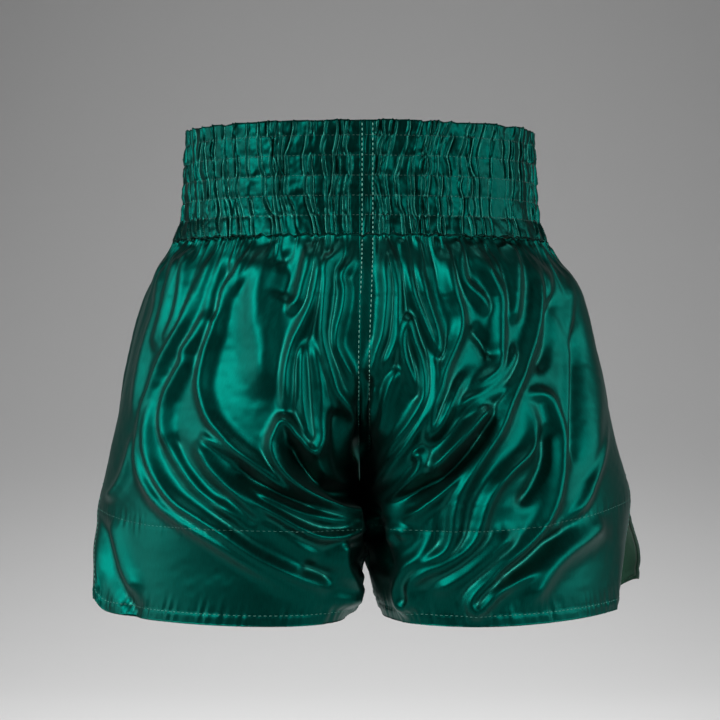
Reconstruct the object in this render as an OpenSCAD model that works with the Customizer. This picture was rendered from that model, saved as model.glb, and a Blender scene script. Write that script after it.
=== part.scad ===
// Satin boxing shorts in the shape they take when worn: an elastic waistband with five
// channels, four leg panels, a turned-up facing inside each hem, and a slit at each side.
// Millimetres. The origin is the centre of the waist opening, in the plane of its top edge.
// +Z is up, +X is the wearer's right and +Y is the wearer's front.

/* [Waistband] */
// Width of the waistband at its top edge
waist_w = 276; // [240:2:320]
// Depth of the waistband at its top edge, front to back
waist_d = 192; // [170:2:230]
// Height of the waistband
band_h = 87; // [70:1:100]
// Height of the plain ruffle above the first row of stitching
heading_h = 11.5; // [8:0.5:16]
// Number of elastic channels
channels = 5; // [4:1:8]
// How far a channel puffs out past its rows of stitching
puff = 3; // [1:0.5:5]

/* [Legs] */
// Overall height, from the top edge to the hems
length = 375; // [330:5:430]
// Width across both hems
hem_w = 432; // [400:2:480]
// Depth of a leg at its hem, front to back
hem_d = 262; // [230:2:290]
// Height of the crotch above the hems
inseam = 90; // [70:1:110]
// Space between the legs at the hems
leg_gap = 24; // [10:1:40]
// How far the fullest part of a leg leans towards the other leg
lean = 26; // [0:1:40]

/* [Side slits] */
// Height of a slit
slit_h = 88; // [60:1:100]
// Width of a slit at the hem
slit_w = 26; // [10:1:40]

/* [Cloth] */
// Thickness of a panel with its seam allowances
cloth_t = 1.2; // [0.8:0.1:2]
// Height of the facing inside each hem
facing_h = 72; // [40:1:80]
// Height of the stitched hem
hem_h = 8; // [5:0.5:12]
// Distance between the two rows of stitching on a centre seam
twin_gap = 9; // [6:0.5:12]
// Thickness of the sewing thread
thread_t = 0.6; // [0.4:0.1:1]

/* [Hidden] */

// Colours of the satin, its dull reverse, the elastic and the thread.
satin = [0.02, 0.33, 0.27];
reverse = [0.05, 0.27, 0.17];
elastic_white = [0.88, 0.88, 0.85];
thread_green = [0.20, 0.50, 0.44];

band_w = waist_w + 18;                     // width at the waistband's lower edge
band_d = waist_d + 14;                     // depth there
hip_h = length - band_h;                   // height of the panels
crotch_drop = length - inseam;             // the crotch below the top edge
slit_drop = length - slit_h;               // the top of a slit below the top edge
channel_h = (band_h - heading_h) / channels;
casing_t = cloth_t;                        // the casing at its rows of stitching
elastic_t = 1.2;
elastic_gap = 0.3;                         // between the elastic and the cloth on each side
elastic_margin = 1.5;                      // between the elastic and the rows of stitching
lining_t = 0.8;
facing_t = 0.8;
layer_gap = 0.2;                           // between a panel and its facing
roundness = 1.15;                          // above 1 the section is flatter than an ellipse
columns = 25;                              // divisions of a panel from centre to side
hip_rows = 10;                             // divisions of a panel down to the fork
fork_rows = 7;                             // divisions where the legs part
leg_rows = 6;                              // divisions from the crotch to the hem
fork_h = 36;                               // height over which the fork is divided finely
band_columns = 24;                         // divisions of half the waistband
overlock_t = 1.4;                          // how far an overlocked seam stands off the panel
bartack_l = 9;
bartack_w = 2;
bartack_t = 1;

// ---- The shape of the legs ---------------------------------------------------------------

// How far down the panel a drop below the top edge is, from 0 to 1.
function down(drop) = min(max((drop - band_h) / hip_h, 0), 1);

// Half the width and half the depth of the outside at a drop.
function half_w(drop) = band_w / 2 + (hem_w - band_w) / 2 * (1 - pow(1 - down(drop), 2.1));
function half_d(drop) = band_d / 2 + (hem_d - band_d) / 2 * (1 - pow(1 - down(drop), 3));

// 0 where both legs share one oval, 1 from the crotch down, where each has its own.
function split_share(drop) = pow(min(down(drop) / down(crotch_drop), 1), 3);

// The inner edge of a leg, which is at the middle down to the crotch.
function inner_x(drop) = leg_gap / 2 * max(drop - crotch_drop, 0) / inseam;

// Half the opening of a slit, and the angle of the side edge, which that swings away from y = 0.
function slit_half(drop) = slit_w / 2 * max(drop - slit_drop, 0) / slit_h;
function side_angle(drop, d) = asin(pow(slit_half(drop) / (half_d(drop) - d), 1 / roundness));

// A point of the right back panel, inset from the outside by d, at a share of the way from
// the centre seam to the side.
function leg_point(drop, share, d) =
  let (w = half_w(drop) - d, b = half_d(drop) - d, q = split_share(drop),
       inner = inner_x(drop) + (q == 1 ? d : 0),
       centre = q * (w + inner) / 2, a = w - centre,
       from = acos(max(-1, min(1, ((q == 1 ? inner : 0) - centre) / a))),
       angle = from + (side_angle(drop, d) - from) * share)
  [ share == 0 && q < 1 ? 0 : centre + a * cos(angle) - lean * q * pow(sin(180 * share), 2),
    -b * pow(sin(angle), roundness),
    -drop ];

// ---- The shape of the waistband ----------------------------------------------------------

// Half the width or depth of the waistband at a drop, before the puffs.
function band_half(top, bottom, drop) = (top + (bottom - top) * drop / band_h) / 2;

// A point of the waistband's right half, inset by d, from the back seam at 90 to the front.
function band_point(drop, angle, d) =
  [ (band_half(waist_w, band_w, drop) - d) * cos(angle),
    -(band_half(waist_d, band_d, drop) - d) * sin(angle),
    -drop ];

function band_line(drop, d) =
  [for (c = [0:band_columns]) band_point(drop, 90 - 180 * c / band_columns, d)];
function band_ring(drop, d) =
  [for (c = [0:2 * band_columns - 1]) band_point(drop, 90 - 180 * c / band_columns, d)];

// How far the casing stands out at a drop: nothing at a row of stitching, puff between rows.
function stands(drop) =
  drop < heading_h
    ? puff * pow(cos(90 * drop / heading_h), 0.5) * 0.8
    : puff * pow(abs(sin(180 * (drop - heading_h) / channel_h)), 0.6);

// ---- Solids from grids -------------------------------------------------------------------

// A closed shell between two grids of points with the same numbers of rows and columns. A
// ring's last column is followed by its first.
module shell(outer, inner, ring = false) {
  nr = len(outer);
  nc = len(outer[0]);
  points = [for (grid = [outer, inner]) for (line = grid) for (p = line) p];
  function at(layer, r, c) = (layer * nr + r) * nc + c % nc;
  skins = [for (r = [0:nr - 2]) for (c = [0:nc - (ring ? 1 : 2)]) each [
    [at(0, r, c), at(0, r + 1, c), at(0, r + 1, c + 1)],
    [at(0, r, c), at(0, r + 1, c + 1), at(0, r, c + 1)],
    [at(1, r, c), at(1, r + 1, c + 1), at(1, r + 1, c)],
    [at(1, r, c), at(1, r, c + 1), at(1, r + 1, c + 1)]]];
  ends = [for (c = [0:nc - (ring ? 1 : 2)]) each [
    [at(0, 0, c), at(0, 0, c + 1), at(1, 0, c + 1)],
    [at(0, 0, c), at(1, 0, c + 1), at(1, 0, c)],
    [at(0, nr - 1, c), at(1, nr - 1, c + 1), at(0, nr - 1, c + 1)],
    [at(0, nr - 1, c), at(1, nr - 1, c), at(1, nr - 1, c + 1)]]];
  sides = ring ? [] : [for (r = [0:nr - 2]) each [
    [at(0, r, 0), at(1, r, 0), at(1, r + 1, 0)],
    [at(0, r, 0), at(1, r + 1, 0), at(0, r + 1, 0)],
    [at(0, r, nc - 1), at(1, r + 1, nc - 1), at(1, r, nc - 1)],
    [at(0, r, nc - 1), at(0, r + 1, nc - 1), at(1, r + 1, nc - 1)]]];
  polyhedron(points = points, faces = concat(skins, ends, sides), convexity = 6);
}

// A square thread along a path that falls, between a point and the point across from it.
module thread(path, across) {
  proud = [0, -thread_t, 0];
  shell([for (p = path) [p + proud, p + proud + across]], [for (p = path) [p, p + across]]);
}

// Everything is drawn for the right back and mirrored to the other quarters.
module place(side, face) {
  mirror([side == "left" ? 1 : 0, 0, 0])
    mirror([0, face == "front" ? 1 : 0, 0])
      children();
}

// ---- Pieces ----------------------------------------------------------------------------------

// One leg panel: from the centre seam to the side seam, and from the waistband to the hem.
module panel(side, face) {
  fork_drop = crotch_drop - fork_h;
  drops = concat(
    [for (r = [0:hip_rows - 1]) band_h + (fork_drop - band_h) * r / hip_rows],
    [for (r = [0:fork_rows - 1]) fork_drop + fork_h * r / fork_rows],
    [for (r = [0:leg_rows]) crotch_drop + inseam * r / leg_rows]);
  function line(h, d) = [for (c = [0:columns]) leg_point(h, c / columns, d)];
  color(satin) place(side, face)
    shell([for (h = drops) line(h, 0)], [for (h = drops) line(h, cloth_t)]);
}

// The cloth turned up inside a hem, as high as the faint row of stitching across the leg.
module hem_facing(side, face) {
  outside = cloth_t + layer_gap;
  steps = 3;
  drops = [for (r = [0:steps]) length - facing_h + (facing_h - 1) * r / steps];
  function line(h, d) = [for (c = [0:columns]) leg_point(h, 0.01 + 0.98 * c / columns, d)];
  color(reverse) place(side, face)
    shell([for (h = drops) line(h, outside)],
          [for (h = drops) line(h, outside + facing_t)]);
}

// Half of the gathered outside of the waistband, from the back seam to the front seam.
module waistband_casing(side) {
  steps = 4;
  drops = concat(
    [for (r = [0:2]) heading_h * r / 3],
    [for (i = [0:channels * steps]) heading_h + channel_h * i / steps]);
  color(satin) place(side, "back")
    shell([for (h = drops) band_line(h, -stands(h))], [for (h = drops) band_line(h, casing_t)]);
}

// Half of the plain cloth that lines the waistband.
module waistband_lining(side) {
  outside = casing_t + 2 * elastic_gap + elastic_t;
  drops = [heading_h, band_h];
  color(reverse) place(side, "back")
    shell([for (h = drops) band_line(h, outside)],
          [for (h = drops) band_line(h, outside + lining_t)]);
}

// One closed band of elastic, lying in its channel between the casing and the lining.
module elastic_strip(number) {
  outside = casing_t + elastic_gap;
  top = heading_h + (number - 1) * channel_h;
  drops = [top + elastic_margin, top + channel_h - elastic_margin];
  color(elastic_white)
    shell([for (h = drops) band_ring(h, outside)],
          [for (h = drops) band_ring(h, outside + elastic_t)], ring = true);
}

// The rows of stitching that part the waistband into channels.
module waistband_channel_threads() {
  proud = 0.3;
  color(thread_green)
    for (i = [0:channels])
      let (top = heading_h + i * channel_h - thread_t / 2, drops = [top, top + thread_t])
        shell([for (h = drops) band_ring(h, -proud - thread_t)],
              [for (h = drops) band_ring(h, -proud)], ring = true);
}

// The twin rows of stitching down a centre seam, from the top edge to just above the crotch.
module centre_seam_threads(face) {
  x = twin_gap / 2;
  stop = crotch_drop - 14;
  steps = 16;
  clear = 0.3;
  band_drops = [for (i = [0:channels]) heading_h + i * channel_h];
  leg_drops = [for (i = [1:steps]) band_h + (stop - band_h) * i / steps];
  function on_leg(h) =
    [for (c = [0:columns - 1])
      let (p = leg_point(h, c / columns, 0), n = leg_point(h, (c + 1) / columns, 0))
        if (p[0] <= x && n[0] > x) p[1] + (n[1] - p[1]) * (x - p[0]) / (n[0] - p[0])][0];
  path = concat(
    [for (h = band_drops) [x, -band_half(waist_d, band_d, h) - puff - clear, -h]],
    [for (h = leg_drops) [x, on_leg(h) - clear, -h]]);
  color(thread_green)
    for (side = ["left", "right"])
      place(side, face) thread(path, [thread_t, 0, 0]);
}

// The overlock thread inside a side seam, from the waistband to the top of the slit.
module side_seam_thread(side) {
  steps = 10;
  tall = slit_drop - band_h - 6;
  path = [for (i = [0:steps])
    let (h = band_h + 3 + tall * i / steps) [half_w(h) - cloth_t - overlock_t, 0, -h]];
  color(thread_green) place(side, "back") thread(path, [thread_t, 0, 0]);
}

// The overlock thread inside an inseam, from the crotch to the facing.
module inseam_thread(side) {
  steps = 3;
  tall = inseam - facing_h - 3;
  inset = cloth_t + overlock_t - thread_t;
  path = [for (i = [0:steps])
    let (h = crotch_drop + 8 + (tall - 4) * i / steps) [inner_x(h) + inset, 0, -h]];
  color(thread_green) place(side, "back") thread(path, [thread_t, 0, 0]);
}

// A row of stitching round a leg at a drop, standing just proud of the panels.
module leg_row(side, drop) {
  function edge(d) =
    [for (c = [0:columns]) let (p = leg_point(drop, 0.004 + 0.97 * c / columns, d)) [p[0], p[1]]];
  back = edge(-0.1);
  color(thread_green)
    for (face = ["back", "front"])
      place(side, face)
        translate([0, 0, -drop - thread_t / 2])
          linear_extrude(thread_t)
            polygon(concat(edge(-0.1 - thread_t), [for (c = [columns:-1:0]) back[c]]));
}

// The stitching of a hem, and the fainter row that holds the top of the facing.
module hem_threads(side) { leg_row(side, length - hem_h); }
module facing_threads(side) { leg_row(side, length - facing_h + 2); }

// The stitching along both edges of a slit.
module slit_threads(side) {
  steps = 6;
  first = slit_drop + 8;
  tall = slit_h - 8 - hem_h - 2;
  clear = 0.5;
  color(thread_green)
    for (face = ["back", "front"])
      place(side, face)
        thread([for (i = [0:steps]) leg_point(first + tall * i / steps, 0.955, -clear)],
               [thread_t, 0, 0]);
}

// The dense bar of stitches across the top of a slit, which stops it from tearing upwards.
module slit_bartack(side) {
  color(thread_green) place(side, "back")
    translate([half_w(slit_drop) + 0.2, -bartack_l / 2, -slit_drop + 2])
      cube([bartack_t, bartack_l, bartack_w]);
}

panel("left", "back");  // back_left_panel
panel("right", "back");  // back_right_panel
panel("left", "front");  // front_left_panel
panel("right", "front");  // front_right_panel
hem_facing("left", "back");  // back_left_hem_facing
hem_facing("right", "back");  // back_right_hem_facing
hem_facing("left", "front");  // front_left_hem_facing
hem_facing("right", "front");  // front_right_hem_facing
waistband_casing("left");  // waistband_casing_left
waistband_casing("right");  // waistband_casing_right
waistband_lining("left");  // waistband_lining_left
waistband_lining("right");  // waistband_lining_right
elastic_strip(1);  // elastic_strip_1
elastic_strip(2);  // elastic_strip_2
elastic_strip(3);  // elastic_strip_3
elastic_strip(4);  // elastic_strip_4
elastic_strip(5);  // elastic_strip_5
waistband_channel_threads();
centre_seam_threads("back");  // back_centre_seam_threads
centre_seam_threads("front");  // front_centre_seam_threads
side_seam_thread("left");  // left_side_seam_thread
side_seam_thread("right");  // right_side_seam_thread
inseam_thread("left");  // left_inseam_thread
inseam_thread("right");  // right_inseam_thread
hem_threads("left");  // left_hem_threads
hem_threads("right");  // right_hem_threads
facing_threads("left");  // left_facing_threads
facing_threads("right");  // right_facing_threads
slit_threads("left");  // left_slit_threads
slit_threads("right");  // right_slit_threads
slit_bartack("left");  // left_slit_bartack
slit_bartack("right");  // right_slit_bartack
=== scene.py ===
import math
import bpy
import numpy as np
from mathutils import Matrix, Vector


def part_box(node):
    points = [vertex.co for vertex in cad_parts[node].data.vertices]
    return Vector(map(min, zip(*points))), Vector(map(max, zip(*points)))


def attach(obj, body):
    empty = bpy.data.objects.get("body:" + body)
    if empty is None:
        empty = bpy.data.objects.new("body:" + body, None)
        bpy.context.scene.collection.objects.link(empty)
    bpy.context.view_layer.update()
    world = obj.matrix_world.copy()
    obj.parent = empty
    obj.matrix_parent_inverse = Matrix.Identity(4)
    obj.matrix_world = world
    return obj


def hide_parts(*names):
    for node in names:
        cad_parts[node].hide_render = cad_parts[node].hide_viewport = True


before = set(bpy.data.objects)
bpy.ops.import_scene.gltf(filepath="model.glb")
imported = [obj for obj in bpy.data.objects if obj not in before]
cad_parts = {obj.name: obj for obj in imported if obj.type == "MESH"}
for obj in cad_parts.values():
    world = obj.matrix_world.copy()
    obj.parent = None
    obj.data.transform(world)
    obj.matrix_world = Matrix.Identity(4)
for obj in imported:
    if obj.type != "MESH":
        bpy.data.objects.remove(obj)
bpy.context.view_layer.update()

# All the shapes are worked out in millimetres, and turned to metres as each mesh is made.
# h is the distance below the waistband's top edge, so a point's z is -h.
MM = 1000
low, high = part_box("back_right_panel")
BAND = -high.z * MM                    # the waistband's height
LENGTH = -low.z * MM                   # from the top edge to the hems
HEM_HALF = 216                         # half the width across the hems
HEM_DEPTH = -low.y * MM                # half the depth of a leg at its hem
CROTCH = LENGTH - 90                   # the crotch is 90 above the hems
SLIT = LENGTH - 88                     # the top of a slit, which is 88 high
SLIT_HALF = 13                         # half a slit's width at the hem
HEADING = 11.5                         # the ruffle above the first row of stitching
CHANNELS = 5
CHANNEL = (BAND - HEADING) / CHANNELS
WAIST = (136.5, 95)                    # half the width and depth at the top edge
WAIST_LOW = (147, 103)                 # and at the waistband's lower edge
CLOTH = 0.55                           # thickness of the satin
THIN = 0.4                             # thickness of the lining and the facings
PUFF = 0.45                            # how far a channel stands out between its rows of stitching
LINING_INSET = 3.9                     # from the outside of the waistband to the lining
ELASTIC_INSET = 2.1                    # from the outside of the waistband to the elastics
TWIN_HALF = 4.5                        # half the distance between the twin rows on the front
ROW_DEPTH = 0.35                       # the groove that a row of stitching pulls
SEAM_SHOWN = 212                       # the twin rows sink into the cleft below here
SLIT_MARGIN = 7                        # from a slit's edge to its row of stitching
FACING = 72                            # height of the facing
HEM = 8                                # height of the stitched hem
ROWS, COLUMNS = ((200, 236))
BAND_COLUMNS = 760
EYE = np.array([0, -1500, -180.0])     # the camera's place
SEAM_AT = (1.6, 9.6)                   # the twin rows of stitching on the back, across x
SIDES = {"left": -1, "right": 1}
FACES = {"back": -1, "front": 1}


# ---- Small helpers ---------------------------------------------------------------

def smooth(t):
    t = np.clip(t, 0, 1)
    return t * t * (3 - 2 * t)


def unit(v):
    return v / np.maximum(np.linalg.norm(v, axis=-1, keepdims=True), 1e-9)


def normals(p, way):
    """Unit normals of a grid of points, on the side that way picks."""
    return way * unit(np.cross(np.gradient(p, axis=1), np.gradient(p, axis=0)))


def blur(a, passes, axes=(0, 1)):
    for _ in range(passes):
        for axis in axes:
            pad = [(1, 1) if k == axis else (0, 0) for k in range(a.ndim)]
            b = np.pad(a, pad, mode="edge")
            first = [slice(None)] * a.ndim
            last = [slice(None)] * a.ndim
            first[axis], last[axis] = slice(0, -2), slice(2, None)
            a = a / 2 + (b[tuple(first)] + b[tuple(last)]) / 4
    return a


def lumps(rng, shape, cells):
    """Smooth noise from -1 to 1 on a grid, with this many cells each way."""
    out = rng.uniform(-1, 1, (cells[0] + 3, cells[1] + 3))
    for axis, (n, c) in enumerate(zip(shape, cells)):
        t = np.linspace(0, c, n)
        k = np.minimum(t.astype(int), c - 1)
        f = smooth(t - k)
        a, b = np.take(out, k, axis), np.take(out, k + 1, axis)
        f = f[:, None] if axis == 0 else f[None, :]
        out = a + (b - a) * f
    return out


def spline(points, n=44):
    """A Catmull-Rom curve through the points."""
    p = np.array(points, float)
    p = np.vstack([2 * p[0] - p[1], p, 2 * p[-1] - p[-2]])
    t = np.linspace(0, len(points) - 1, n)
    k = np.minimum(t.astype(int), len(points) - 2)
    f = (t - k)[:, None]
    a, b, c, d = p[k], p[k + 1], p[k + 2], p[k + 3]
    return b + f * (c - a + f * (2 * a - 5 * b + 4 * c - d + f * (3 * (b - c) + d - a))) / 2


# ---- Meshes ----------------------------------------------------------------------

def grid_faces(rows, columns, first=0, ring=False, flip=False):
    r, c = np.meshgrid(np.arange(rows - 1), np.arange(columns - (0 if ring else 1)), indexing="ij")
    n = (c + 1) % columns
    quads = np.stack([r * columns + c, (r + 1) * columns + c, (r + 1) * columns + n, r * columns + n], -1)
    quads = quads.reshape(-1, 4) + first
    return quads[:, ::-1] if flip else quads


def make(name, points, faces, materials, which=None, flat_uv=None):
    """A mesh object of quads, from points in millimetres."""
    mesh = bpy.data.meshes.new(name)
    points = np.asarray(points, np.float32) / MM
    faces = np.asarray(faces, np.int32)
    mesh.vertices.add(len(points))
    mesh.vertices.foreach_set("co", points.ravel())
    mesh.loops.add(faces.size)
    mesh.loops.foreach_set("vertex_index", faces.ravel())
    mesh.polygons.add(len(faces))
    mesh.polygons.foreach_set("loop_start", np.arange(len(faces), dtype=np.int32) * faces.shape[1])
    mesh.update(calc_edges=True)
    if flat_uv is not None:
        layer = mesh.uv_layers.new(name="cloth")
        layer.data.foreach_set("uv", np.asarray(flat_uv, np.float32)[faces.ravel()].ravel())
    for m in materials:
        mesh.materials.append(m)
    if which is not None:
        mesh.polygons.foreach_set("material_index", np.asarray(which, np.int32))
    mesh.polygons.foreach_set("use_smooth", np.full(len(faces), True))
    mesh.validate()
    piece = bpy.data.objects.new(name, mesh)
    bpy.context.scene.collection.objects.link(piece)
    return piece


def shell(name, p, way, thick, materials, flat, ring=False):
    """A closed sheet: the grid p, a second grid thick inside it, and the rim between them."""
    rows, columns = p.shape[:2]
    n = normals(p, way)
    inner = p - n * (thick if np.isscalar(thick) else thick[..., None])
    size = rows * columns
    out = way > 0
    faces = [grid_faces(rows, columns, 0, ring, not out), grid_faces(rows, columns, size, ring, out)]
    rim = []
    top = np.arange(columns)
    for line, turn in ((top, out), (top + (rows - 1) * columns, not out)):
        a, b = (line, np.roll(line, -1)) if ring else (line[:-1], line[1:])
        quad = np.stack([a, b, b + size, a + size], -1)
        rim.append(quad[:, ::-1] if turn else quad)
    if not ring:
        side = np.arange(rows) * columns
        for line, turn in ((side, not out), (side + columns - 1, out)):
            a, b = line[:-1], line[1:]
            quad = np.stack([a, b, b + size, a + size], -1)
            rim.append(quad[:, ::-1] if turn else quad)
    rim = np.concatenate(rim)
    which = np.concatenate([np.zeros(len(faces[0])), np.ones(len(faces[1])), np.zeros(len(rim))])
    uv = np.concatenate([flat.reshape(-1, 2), flat.reshape(-1, 2)]) / MM
    return make(name, np.concatenate([p.reshape(-1, 3), inner.reshape(-1, 3)]),
                np.concatenate(faces + [rim]), materials, which, uv)


def at_grid(p, n, rows, columns):
    """Points and normals of a grid at fractional rows and columns."""
    r = np.clip(rows, 0, p.shape[0] - 1.001)
    c = np.clip(columns, 0, p.shape[1] - 1.001)
    i, j = r.astype(int), c.astype(int)
    fr, fc = (r - i)[:, None], (c - j)[:, None]

    def mix(a):
        return ((a[i, j] * (1 - fc) + a[i, j + 1] * fc) * (1 - fr)
                + (a[i + 1, j] * (1 - fc) + a[i + 1, j + 1] * fc) * fr)
    return mix(p), unit(mix(n))


def stitches(name, lines, material, long, gap, thick):
    """Separate stitches along lines, each a pair of arrays: points on the cloth and normals."""
    sides, rings = 6, 5
    lift = 0.12                        # clear of the cloth
    points, faces = [], []
    around = np.linspace(0, 2 * math.pi, sides, endpoint=False)
    along = np.linspace(-1, 1, rings)
    for path, face in lines:
        step = np.linalg.norm(np.diff(path, axis=0), axis=1)
        total = np.concatenate([[0], np.cumsum(step)])
        count = int(total[-1] / (long + gap))
        if count < 1:
            continue
        middle = (np.arange(count) + 0.5) * total[-1] / count
        for m in middle:
            ends = np.array([[np.interp(m + e * long / 2, total, path[:, k]) for k in range(3)]
                             for e in (-1, 0, 1)])
            up = unit(np.array([np.interp(m, total, face[:, k]) for k in range(3)]))
            way = unit(ends[2] - ends[0])
            across = unit(np.cross(way, up))
            first = len(points) * rings * sides
            ring_points = []
            for a in along:
                above = lift + 0.1 * thick - 0.35 * thick * a * a
                centre = ends[1] + (ends[2] - ends[0]) / 2 * a + up * above
                r = thick / 2 * (0.25 + 0.75 * math.sqrt(max(0, 1 - a ** 4)))
                spoke = np.cos(around)[:, None] * across + 0.8 * np.sin(around)[:, None] * up
                ring_points.append(centre + r * spoke)
            points.append(np.concatenate(ring_points))
            faces.append(grid_faces(rings, sides, first, ring=True))
    return make(name, np.concatenate(points), np.concatenate(faces), [material])


def stands_for(piece, slot, *nodes):
    """Hangs a piece on the root body and hides the nodes that it replaces; slot, what it is made of, is not
    used.
    """
    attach(piece, "root")
    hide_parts(*nodes)


# ---- The shape the shorts are cut and worn to ------------------------------------

def down(h):
    return np.clip((h - BAND) / (LENGTH - BAND), 0, 1)


def half_width(h, side):
    w = WAIST_LOW[0] + (HEM_HALF - WAIST_LOW[0]) * (1 - (1 - down(h)) ** 2.1)
    w += flare(h) * (1.0 if side < 0 else 1.7)
    if side < 0:
        return w - 5.5 * smooth((h - 150) / 90) * smooth((345 - h) / 80)
    return w + 3.5 * smooth((h - 250) / 60) * smooth((400 - h) / 50)


def half_depth(h):
    return WAIST_LOW[1] + (HEM_DEPTH - WAIST_LOW[1]) * (1 - (1 - down(h)) ** 3) + flare(h)


def flare(h):
    """How far the gathered cloth swells out just below the waistband."""
    return 3.5 * smooth((h - BAND) / 30) * smooth((185 - h) / 60)


def leg_inner(h):
    """How far a leg's inner edge is from the plane between the legs. Below 0 the legs are pressed
    together, and the cloth is flattened against that plane."""
    return 0.32 * max(h - 338, 0) - 5 * smooth((h - CROTCH) / 15) * smooth((350 - h) / 25)


def section(h, side, lean, count=500):
    """One panel's outline at h, from its centre seam or inseam to its side, as if on the right back."""
    w, b = half_width(h, side), half_depth(h)
    q = 1 - (1 - min(down(h) / down(CROTCH), 1) ** 2.2) ** 2
    inner = leg_inner(h)
    centre = q * (w + inner) / 2
    a = w - centre
    start = math.acos(max(-1, min(1, ((inner if q == 1 else 0) - centre) / a)))
    gap = SLIT_HALF * max(h - SLIT, 0) / (LENGTH - SLIT)
    end = math.asin((gap / b) ** (1 / 1.15))
    s = np.linspace(0, 1, count)
    t = start + (end - start) * s
    x = centre + a * np.cos(t) - lean * q * (np.sin(t) ** 2 - math.sin(start) ** 2 * (1 - s) ** 2)
    y = b * np.abs(np.sin(t)) ** np.where(t > math.pi / 2, 1.15 - 0.35 * q, 1.15)
    return x, y


def panel_base(side, face, lean, rows, columns):
    """The panel without its folds: a grid of points, and the cloth's own coordinates."""
    p = np.zeros((rows, columns, 3))
    flat = np.zeros((rows, columns, 2))
    inward = 1 - np.linspace(0, 1, columns)
    levels = np.linspace(BAND, LENGTH, rows)
    outlines, runs = [], []
    for h in levels:
        x, y = section(h, side, lean)
        outlines.append((x, y))
        runs.append(np.concatenate([[0], np.cumsum(np.hypot(np.diff(x), np.diff(y)))]))
    # the rows lengthen fast above the crotch; their columns crowd up only near the centre
    longest = np.array([run[-1] for run in runs])
    even = blur(longest[:, None] * np.ones((1, 3)), 60)[:, 1]
    for r, h in enumerate(levels):
        (x, y), run = outlines[r], runs[r]
        at = run[-1] - (even[r] * inward + (run[-1] - even[r]) * inward ** 4)
        z = np.full(columns, -h)
        p[r] = np.stack([side * np.interp(at, run, x), face * np.interp(at, run, y), z], -1)
        flat[r] = np.stack([at - run[-1], z], -1)
    return p, flat


def seen(p):
    """Where a point shows on the plane through the middle of the shorts: across, and h."""
    reach = -EYE[1] / (p[..., 1] - EYE[1])
    return np.stack([p[..., 0] * reach, -(EYE[2] + (p[..., 2] - EYE[2]) * reach)], -1)


def fold_field(at, folds, strength=1.0):
    """How far the folds stand out at points of that plane, in millimetres. Where folds meet they
    run into each other, and the higher one leads."""
    shape = at.shape[:-1]
    at = at.reshape(-1, 2).astype(np.float32)
    ridges, valleys = np.zeros((2, len(at)), np.float32)
    for size, left, right, points in folds:
        q = spline(points, 10 + 5 * len(points)).astype(np.float32)
        wide = 3 * max(left, right)
        near = np.where((at > q.min(0) - wide).all(1) & (at < q.max(0) + wide).all(1))[0]
        if not len(near):
            continue
        a, d = q[:-1], q[1:] - q[:-1]
        rel = at[near, None] - a
        t = np.clip((rel * d).sum(-1) / (d * d).sum(-1), 0, 1)
        off = rel - t[..., None] * d
        far = (off * off).sum(-1)
        k = far.argmin(1)
        i = np.arange(len(near))
        turn = d[k, 0] * off[i, k, 1] - d[k, 1] * off[i, k, 0]
        along = (k + t[i, k]) / len(d)
        reach = np.where(turn > 0, left, right)
        ends = smooth((along + 0.04) / 0.22) * smooth((1.04 - along) / 0.22)
        kind = ridges if size > 0 else valleys
        off = far[i, k] / reach ** 2
        kind[near] += (abs(size) * ends * (0.8 * np.exp(-off) + 0.2 * np.exp(-4 * off))) ** 3
    return strength * (np.cbrt(ridges) - np.cbrt(valleys)).reshape(shape)


# ---- Gathers ---------------------------------------------------------------------

def gathers(rng, length, pitch, rows, wander=1.3):
    """The lines of the gathers at each of some rows: an array of rows by lines."""
    count = int(length / pitch) + 3
    gaps = rng.uniform(0.35, 1.9, count) ** 1.25
    places = []
    line = np.cumsum(gaps)
    slant = rng.uniform(-1, 1, 9)
    for _ in range(rows):
        line = (line - line[0]) / (line[-1] - line[0]) * (length + 2 * pitch) - pitch
        places.append(line)
        slant = 0.6 * slant + 0.8 * rng.uniform(-1, 1, 9)
        drift = np.interp(np.arange(count), np.linspace(0, count, 9), slant) * wander * 2.8
        new = np.sort(line + drift + rng.normal(0, wander * 0.8, count))
        gap = np.maximum(np.diff(new), pitch * 0.3)
        line = new[0] + np.concatenate([[0], np.cumsum(gap)])
    return np.array(places)


def beside(s, at):
    """The line before each distance s, and how far s is from it and from the next one."""
    j = np.clip(np.searchsorted(at, s) - 1, 0, len(at) - 2)
    return j, s - at[j], at[j + 1] - s


BAND_RUN = 400                         # more than half the length round the waistband
PINCHES = {side: gathers(np.random.default_rng(11 + side), BAND_RUN, 6.2, CHANNELS + 2) for side in (-1, 1)}
PINCH = 2.7                            # how far a pinched line stands up, at most


def pinch_heights(side):
    """How high each pinched line is in the heading and in each channel, as a share of PINCH."""
    rng = np.random.default_rng(31 + side)
    shape = (CHANNELS + 1, PINCHES[side].shape[1])
    return rng.uniform(0.35, 1.15, shape) * (rng.random(shape) > 0.12)


# ---- The waistband ---------------------------------------------------------------

def band_ring(h, inset, count=721):
    """Half the waistband's outline at h, from the back seam to the front one, on the right."""
    t = 0.45 * h / BAND + 0.55 * smooth((h - 64) / 30) / smooth((BAND - 64) / 30)
    a = WAIST[0] + (WAIST_LOW[0] - WAIST[0]) * t - inset
    b = WAIST[1] + (WAIST_LOW[1] - WAIST[1]) * t - inset
    angle = np.linspace(0, math.pi, count)
    power = 2 / 2.12
    x = a * np.abs(np.sin(angle)) ** power
    y = -b * np.sign(np.cos(angle)) * np.abs(np.cos(angle)) ** power
    return x, y


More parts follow.
